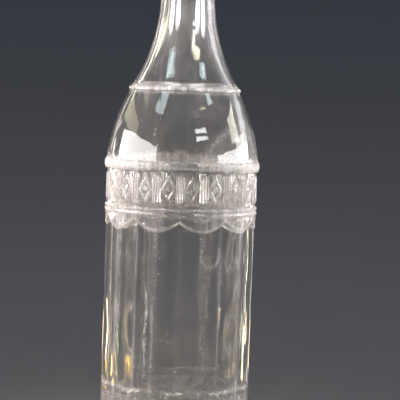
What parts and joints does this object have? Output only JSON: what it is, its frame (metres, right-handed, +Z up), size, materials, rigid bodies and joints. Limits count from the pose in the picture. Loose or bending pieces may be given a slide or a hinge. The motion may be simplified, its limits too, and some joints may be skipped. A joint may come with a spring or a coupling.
{
  "type": "glass soda bottle",
  "caption": "Tall clear glass soda bottle with upright glass reeds under a scalloped edge, a banded shoulder, a long flared neck and a fluted steel crown cork that lifts off.",
  "frame": {"origin": "centre of the ring that the bottle stands on, at the bottom of the base", "axes": "+Z up along the bottle's axis towards the crown cork; -Y points out of the groove between two reeds that the picture shows in the middle"},
  "size_m": [0.065, 0.065, 0.221],
  "materials": {
    "clear_glass": "clear flint glass with a faint straw tint, frosted by case wear on the shoulder bead and heel",
    "tinplate": "bare tin-plated steel, satin, with fine scratches",
    "cork": "matt pressed cork with darker grains",
    "foil": "thin satin foil"
  },
  "bodies": {
    "bottle": {"bottle": "clear_glass"},
    "crown": {"crown_shell": "tinplate", "cork_disc": "cork", "foil_spot": "foil"}
  },
  "joints": [
    {"name": "crown_lift", "type": "slide", "parent": "bottle", "child": "crown", "axis": [0, 0, 1], "range_m": [0, 0.03]}
  ]
}
